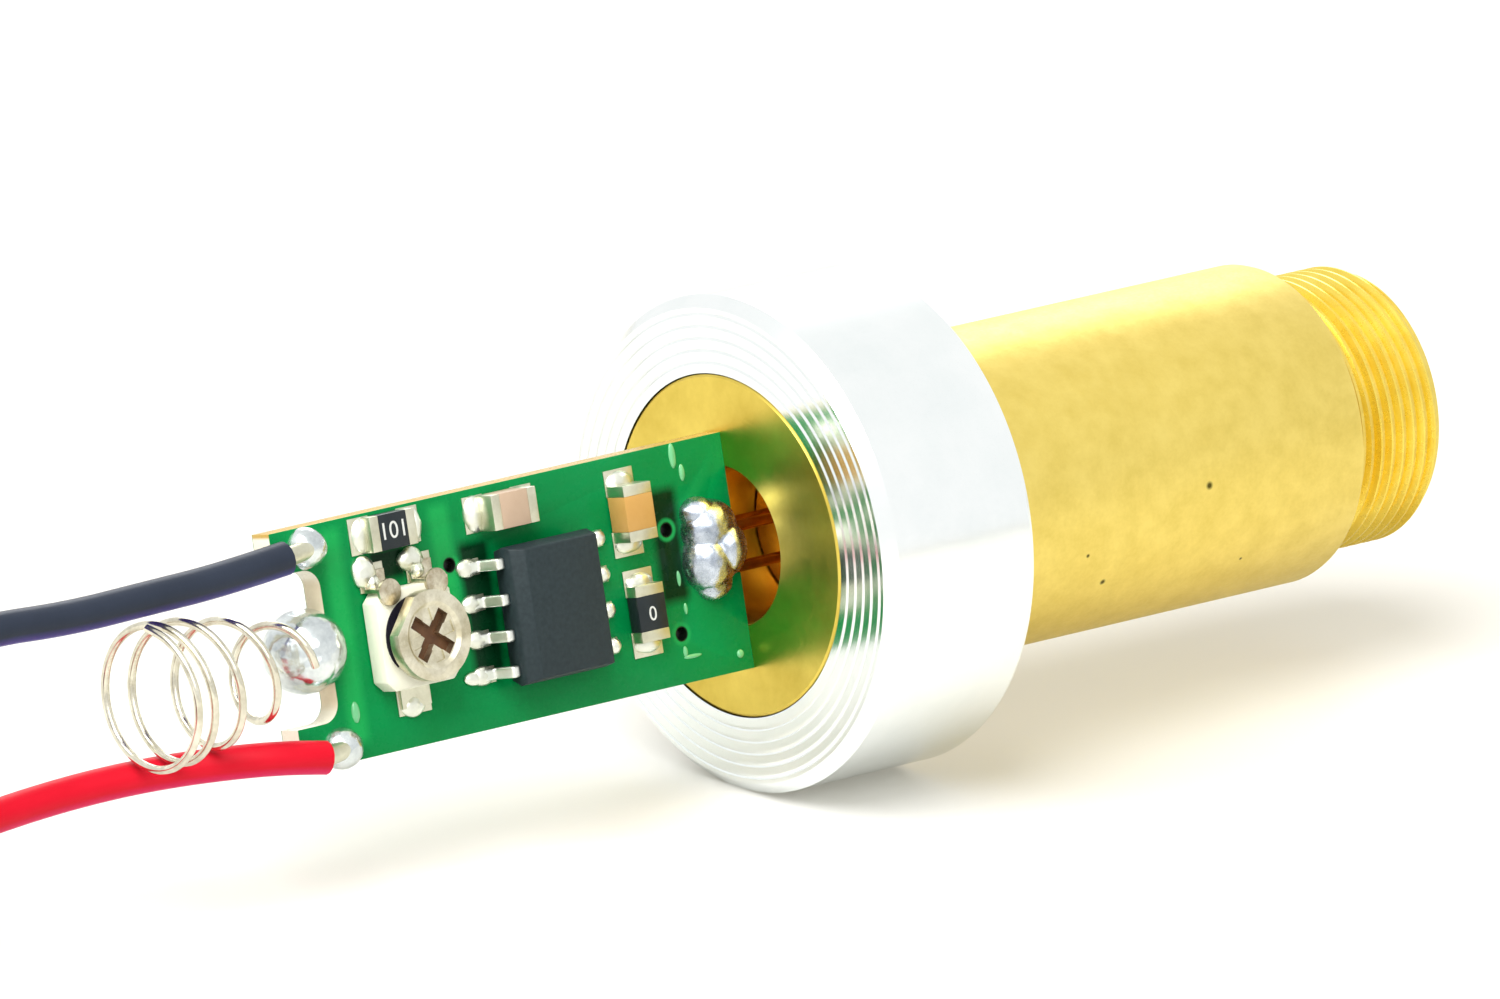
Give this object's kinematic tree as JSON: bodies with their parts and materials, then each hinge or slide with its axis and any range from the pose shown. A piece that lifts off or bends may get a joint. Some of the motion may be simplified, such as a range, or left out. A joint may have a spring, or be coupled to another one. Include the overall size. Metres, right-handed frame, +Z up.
{
  "type": "laser diode module",
  "caption": "Brass-bodied laser diode module with a round aluminium heat-sink ring, a threaded nose, a driver board, a contact spring and two supply leads.",
  "frame": {"origin": "middle of the heat-sink ring, on the optical axis", "axes": "+X along the optical axis towards the nose and the beam, +Z up, the board's component side towards -Y"},
  "size_m": [0.0941, 0.0178, 0.0178],
  "materials": {
    "ring_metal": "turned, bright",
    "barrel_brass": "turned, satin",
    "mount_brass": "turned, satin",
    "inner_brass": "turned",
    "gold_plate": "gold plated",
    "can_metal": "nickel plated",
    "can_glass": "clear",
    "crystal": "polished",
    "lens_glass": "polished",
    "filter_glass": "polished",
    "board_green": "solder mask",
    "chip_black": "moulded",
    "resistor_black": "glazed",
    "capacitor_grey": "fired",
    "capacitor_tan": "fired",
    "tinned": "tinned",
    "solder": "bright solder",
    "trimmer_white": "fired",
    "trimmer_carbon": "printed",
    "rotor_metal": "pressed",
    "spring_nickel": "nickel plated",
    "lead_black": "extruded",
    "lead_red": "extruded",
    "tip_metal": "tinned",
    "tie_plastic": "moulded"
  },
  "bodies": {
    "module": {"barrel": "barrel_brass", "black_lead": "lead_black", "black_lead_coil": "lead_black", "black_lead_tip": "tip_metal", "coil_tie": "tie_plastic", "collimating_lens": "lens_glass", "contact_spring": "spring_nickel", "crystal_holder": "inner_brass", "crystal_set": "crystal", "diode_cap": "can_metal", "diode_header": "gold_plate", "diode_mount": "mount_brass", "diode_pins": "gold_plate", "diode_solder": "solder", "diode_window": "can_glass", "driver_board": "board_green", "driver_chip_body": "chip_black", "driver_chip_leads": "tinned", "expander_lens": "lens_glass", "front_capacitor_body": "capacitor_tan", "front_capacitor_ends": "tinned", "front_resistor_body": "resistor_black", "front_resistor_ends": "tinned", "heatsink_ring": "ring_metal", "ir_filter": "filter_glass", "lead_cores": "tinned", "lead_solder": "solder", "lens_cell": "inner_brass", "lens_lock_ring": "inner_brass", "rear_capacitor_body": "capacitor_grey", "rear_capacitor_ends": "tinned", "rear_resistor_body": "resistor_black", "rear_resistor_ends": "tinned", "red_lead": "lead_red", "red_lead_coil": "lead_red", "red_lead_tip": "tip_metal", "spring_solder": "solder", "tinned_pads": "tinned", "trimmer_base": "trimmer_white", "trimmer_terminals": "tinned", "trimmer_track": "trimmer_carbon", "trimmer_wiper_terminal": "tinned"},
    "rotor": {"trimmer_rotor": "rotor_metal"}
  },
  "joints": [
    {"name": "trimmer_turn", "type": "hinge", "parent": "module", "child": "rotor", "pos_m": [-0.01845, -0.00143, -0.00013], "axis": [0, -0.9736, 0.2284], "range_deg": [-120, 120]}
  ]
}
